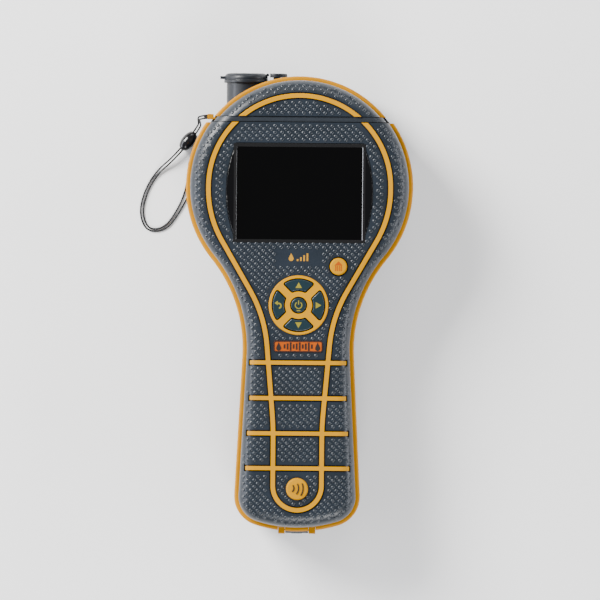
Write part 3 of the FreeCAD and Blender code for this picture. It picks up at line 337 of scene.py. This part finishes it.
# from the eyelet through the bead, round the loop and back; millimetres from the head's centre
CORD_ROUTE = [
    (-42.9, 32.9, 24.0), (-47.0, 32.6, 22.0), (-47.5, 31.0, 12.8), (-46.9, 28.55, 3.4),
    (-58.4, 14.1, 3.4), (-66.7, 7.2, 0.45), (-72.2, -2.2, 0.45), (-74.6, -12.4, 0.45),
    (-71.2, -21.2, 0.45), (-62.1, -20.7, 0.45), (-56.4, -13.2, 0.45), (-51.9, -4.6, 0.45),
    (-48.0, 4.4, 0.45), (-45.4, 11.3, 0.45),
    (-48.0, 14.0, 0.45), (-51.6, 12.7, 0.45), (-51.9, 4.9, 0.45), (-53.6, -4.0, 0.45),
    (-57.7, -12.5, 0.45), (-62.9, -19.4, 0.45), (-70.4, -20.2, 0.45), (-73.2, -12.3, 0.45),
    (-70.9, -2.7, 0.45), (-65.7, 6.2, 0.45), (-57.4, 13.3, 3.4), (-45.9, 27.75, 3.4),
    (-46.5, 30.1, 12.8), (-46.9, 31.3, 22.0), (-42.9, 31.6, 24.0),
]
CORD_DIAMETER = 0.8 * MM


def cord_curve(name, kind, points):
    """A round cord's curve along a list of points."""
    data = bpy.data.curves.new(name, "CURVE")
    data.dimensions = "3D"
    data.bevel_depth = CORD_DIAMETER / 2
    data.bevel_resolution = 3
    spline = data.splines.new(kind)
    spline.points.add(len(points) - 1)
    for point, place in zip(spline.points, points):
        point.co = (*place, 1.0)
    return data, spline


def strap_cord():
    """The doubled cord as one open line."""
    route = [(x * MM, y * MM + HEAD.y, z * MM) for x, y, z in CORD_ROUTE]
    data, spline = cord_curve("strap_line", "NURBS", route)
    spline.order_u = 3
    spline.use_endpoint_u = True
    spline.resolution_u = 12
    data.use_fill_caps = True
    cord = add_piece("strap_line", data, "root", "cord")
    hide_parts("strap_cord")


strap_cord()


# ---- the rubber's raised dimples -----------------------------------------------------------------

PITCH = 3.3 * MM
ROW = 1.56 * MM
DIMPLE_RADIUS = 0.92 * MM
DIMPLE_HEIGHT = 0.42 * MM
DOME_PROFILE = ((1.0, -0.25), (1.0, 0.0), (0.86, 0.5), (0.5, 0.88))   # parts of the radius and height
SIDES = 10
STEEPEST = 0.55             # least cosine between a face that carries dimples and the rays
SPARE = 0.95 * MM           # how far round a dimple its face has to go on
SPARE_DROP = 0.3 * MM       # how far that face may fall away
RAY_START = 0.2             # how far from the ground plane the rays set out


def add_dome(mesh, place, normal):
    """A low closed dome standing on a surface, its foot sunk a little into it."""
    turn = normal.to_track_quat("Z", "Y").to_matrix()
    rings = []
    for radius, height in DOME_PROFILE:
        ring = []
        for step in range(SIDES):
            angle = 2 * math.pi * step / SIDES
            local = Vector((radius * DIMPLE_RADIUS * math.cos(angle),
                            radius * DIMPLE_RADIUS * math.sin(angle), height * DIMPLE_HEIGHT))
            ring.append(mesh.verts.new(place + turn @ local))
        rings.append(ring)
    crown = mesh.verts.new(place + turn @ Vector((0, 0, DIMPLE_HEIGHT)))
    mesh.faces.new(list(reversed(rings[0])))
    for low, high in zip(rings, rings[1:]):
        for step in range(SIDES):
            after = (step + 1) % SIDES
            mesh.faces.new((low[step], low[after], high[after], high[step]))
    for step in range(SIDES):
        mesh.faces.new((rings[-1][step], rings[-1][(step + 1) % SIDES], crown))


def around(centre, half_x, half_y):
    """A flat box in plan, as its low and high corner."""
    return ((centre.x - half_x, centre.y - half_y), (centre.x + half_x, centre.y + half_y))


def in_box(place, boxes):
    """Whether a place lies over any of the flat boxes."""
    return any(low[0] < place.x < high[0] and low[1] < place.y < high[1] for low, high in boxes)


def goes_on(tree, start, ray, place, normal):
    """Whether the face under a dimple goes on evenly all round it."""
    for step in range(8):
        angle = math.pi * step / 4
        beside = start + Vector((SPARE * math.cos(angle), SPARE * math.sin(angle), 0))
        near = tree.ray_cast(beside, ray)[0]
        if near is None or abs((near - place).dot(normal)) > SPARE_DROP:
            return False
    return True


def dimples(name, node, body, keep_clear, direction=-1.0, lowest=0.0):
    """Dimples on a staggered grid over a CAD node's face, where nothing interrupts it."""
    tree = BVHTree.FromObject(nodes[node], bpy.context.evaluated_depsgraph_get())
    low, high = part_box(node)
    ray = Vector((0, 0, direction))
    mesh = bmesh.new()
    rows = int((high[1] - low[1]) / ROW) + 2
    columns = int((high[0] - low[0]) / PITCH) + 3
    for row in range(rows):
        for column in range(-columns // 2, columns // 2 + 1):
            x = (column + 0.5 * (row % 2)) * PITCH
            start = Vector((x, low[1] + row * ROW, -direction * RAY_START))
            place, normal, _, _ = tree.ray_cast(start, ray)
            if place is None or place.z < lowest or in_box(place, keep_clear):
                continue
            if -normal.z * direction >= STEEPEST and goes_on(tree, start, ray, place, normal):
                add_dome(mesh, place, normal)
    data = filled(name, mesh)
    data.shade_smooth()
    add_piece(name, data, body, "dimple")


MARK_PLACE = HEAD + Vector((0, -32.7 * MM, FACE))
FRONT_CLEAR = [around(MARK_PLACE, 11.5 * MM, 3.3 * MM), around(middle("nameplate"), 12.4 * MM, 3.6 * MM)]
REAR_CLEAR = [around(middle("sensor_pad"), 60 * MM, 60 * MM)]
dimples("front_dimples", "front_shell", "root", FRONT_CLEAR)
dimples("cap_dimples", "cap_shell", "pin_cap", [])
dimples("rear_dimples", "rear_shell", "root", REAR_CLEAR, direction=1.0, lowest=1.0 * MM)


# ---- the window's bevel --------------------------------------------------------------------------

def closed_loop(name, rings, material):
    """A ring-shaped solid skinned over loops of points, the last loop joined back to the first."""
    mesh = bmesh.new()
    loops = [[mesh.verts.new(point) for point in ring] for ring in rings]
    count = len(rings[0])
    for low, high in zip(loops, loops[1:] + loops[:1]):
        for step in range(count):
            after = (step + 1) % count
            mesh.faces.new((low[step], low[after], high[after], high[step]))
    bmesh.ops.recalc_face_normals(mesh, faces=mesh.faces)
    add_piece(name, filled(name, mesh), "root", material)


def view_ring(growth, height):
    """The corners of the display's viewing area, grown a little, at a height over the glass."""
    centre = middle("lcd_module")
    level = top("display_window") + height
    half_x, half_y = VIEW_HALF.x + growth, VIEW_HALF.y + growth
    return [Vector((centre.x + x * half_x, centre.y + y * half_y, level))
            for x, y in ((-1, -1), (1, -1), (1, 1), (-1, 1))]


# the bevel's section: how far its loops are grown and how high they stand, in millimetres
BEVEL = ((0.0, -0.02), (0.22, 0.16), (0.34, 0.16), (1.5, -0.02))
closed_loop("window_bevel", [view_ring(growth * MM, height * MM) for growth, height in BEVEL],
            "bevel")


# ---- the knot at the strap's eyelet --------------------------------------------------------------

KNOT_PLACE = HEAD + Vector((-43.7, 32.3, 23.9)) * MM
KNOT_SIZE = 0.27 * MM
KNOT_POINTS = 36


def eyelet_knot():
    """The knot that holds the cord's two ends at the eyelet: a small trefoil."""
    places = []
    for step in range(KNOT_POINTS):
        angle = 2 * math.pi * step / KNOT_POINTS
        local = Vector((math.sin(angle) + 2 * math.sin(2 * angle),
                        math.cos(angle) - 2 * math.cos(2 * angle), -math.sin(3 * angle)))
        places.append(KNOT_PLACE + local * KNOT_SIZE)
    data, spline = cord_curve("cord_knot", "POLY", places)
    spline.use_cyclic_u = True
    add_piece("cord_knot", data, "root", "cord")


eyelet_knot()


# ---- printed marks, all of them plain shapes -----------------------------------------------------

def stamp(name, outlines, place, body, material, thick=0.06):
    """Flat closed shapes, outlined in millimetres about a place and as thick above it as below."""
    mesh = bmesh.new()
    for outline in outlines:
        low = [mesh.verts.new(place + Vector((x, y, -thick)) * MM) for x, y in outline]
        high = [mesh.verts.new(place + Vector((x, y, thick)) * MM) for x, y in outline]
        mesh.faces.new(high)
        mesh.faces.new(list(reversed(low)))
        for step in range(len(outline)):
            after = (step + 1) % len(outline)
            mesh.faces.new((low[step], low[after], high[after], high[step]))
    mesh.normal_update()
    bmesh.ops.triangulate(mesh, faces=[face for face in mesh.faces if len(face.verts) > 4])
    add_piece(name, filled(name, mesh), body, material)


def stamp_key(name, outlines, key, material="olive"):
    """A sign on the top of a key, which moves with it."""
    stamp(name, outlines, face_of(key), key, material)


def band(outer, inner, start, end, centre=(0, 0), steps=24):
    """A flat arc of a ring, from one angle to another in degrees."""
    angles = [math.radians(start + (end - start) * step / steps) for step in range(steps + 1)]
    rim = [(centre[0] + outer * math.cos(angle), centre[1] + outer * math.sin(angle)) for angle in angles]
    back = [(centre[0] + inner * math.cos(angle), centre[1] + inner * math.sin(angle)) for angle in angles]
    return rim + back[::-1]


def bar(x, y, wide, high):
    """An upright rectangle about its middle."""
    return [(x - wide / 2, y - high / 2), (x + wide / 2, y - high / 2),
            (x + wide / 2, y + high / 2), (x - wide / 2, y + high / 2)]


def droplet(x, y, radius, tall):
    """A drop of water: a round foot drawn up to a point."""
    foot = [(x + radius * math.cos(math.radians(angle)), y + radius * math.sin(math.radians(angle)))
            for angle in range(150, 391, 15)]
    return foot + [(x, y + tall)]


def arrow(turn):
    """A triangle pointing up, turned by an angle in degrees."""
    cosine = math.cos(math.radians(turn))
    sine = math.sin(math.radians(turn))
    corners = ((-1.5, -1.2), (1.5, -1.2), (0, 1.45))
    return [(x * cosine - y * sine, x * sine + y * cosine) for x, y in corners]


def rising_bars():
    """Four bars on one line, each taller than the last."""
    return [bar(-0.6 + 1.5 * step, -1.7 + 0.45 * (step + 1), 0.8, 0.9 * (step + 1)) for step in range(4)]


def bar_row():
    """Ten bars of three heights in turn."""
    return [bar(-6.3 + 1.4 * step, 0, 0.85, 2.0 + 0.9 * (step % 3)) for step in range(10)]


def plate_ring(growth, height):
    """The nameplate's rounded outline, grown a little, at a height over its face."""
    low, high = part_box("nameplate")
    level = high.z + height
    corner = 1.0 * MM
    ring = []
    for quarter, (x, y) in enumerate(((1, 1), (-1, 1), (-1, -1), (1, -1))):
        centre_x = (high.x if x > 0 else low.x) - x * corner
        centre_y = (high.y if y > 0 else low.y) - y * corner
        for step in range(5):
            angle = math.radians(90 * quarter + 22.5 * step)
            ring.append(Vector((centre_x + (corner + growth) * math.cos(angle),
                                centre_y + (corner + growth) * math.sin(angle), level)))
    return ring


# the outline's section, given as the bevel's is
OUTLINE = ((-0.42, -0.03), (-0.42, 0.06), (-0.04, 0.06), (-0.04, -0.03))

for key, turn in (("key_up", 0), ("key_right", -90), ("key_down", 180)):
    stamp_key(key + "_arrow", [arrow(turn)], key)
hook = band(1.45, 0.75, -80, 105, (-0.1, -0.35))
hook_point = [(-0.45, -0.1), (-0.45, 2.0), (-2.0, 0.9)]
stamp_key("key_back_hook", [hook, hook_point], "key_back")
power_ring = band(1.75, 1.3, 125, 415)
power_stroke = bar(0, 1.25, 0.45, 1.9)
power_foot = bar(0, -2.5, 1.7, 0.42)
stamp_key("key_power_sign", [power_ring, power_stroke, power_foot], "key_power")
roof = [(-1.9, 0.5), (1.9, 0.5), (0, 2.4)]
walls = [bar(x, -0.9, 0.5, 2.4) for x in (-1.3, -0.45, 0.45, 1.3)]
stamp_key("key_home_sign", [roof, *walls], "key_home", "plate")
stamp("face_mark", [droplet(-3.6, -0.6, 1.15, 2.5), *rising_bars()], MARK_PLACE, "root", "mark")
plate_drops = [droplet(x, -0.8, 1.2, 2.8) for x in (-9.0, 9.0)]
stamp("nameplate_pattern", [*plate_drops, *bar_row()], face_of("nameplate"), "root", "ink")
closed_loop("nameplate_outline", [plate_ring(growth * MM, height * MM) for growth, height in OUTLINE],
            "ink")
waves = [band(radius, radius - 0.6, -reach - 6, reach - 6, (-3.3, 0.3), 12)
         for radius, reach in ((2.2, 52), (4.3, 36), (6.4, 28))]
stamp("marker_waves", waves, face_of("sensor_marker"), "root", "ink", thick=0.3)
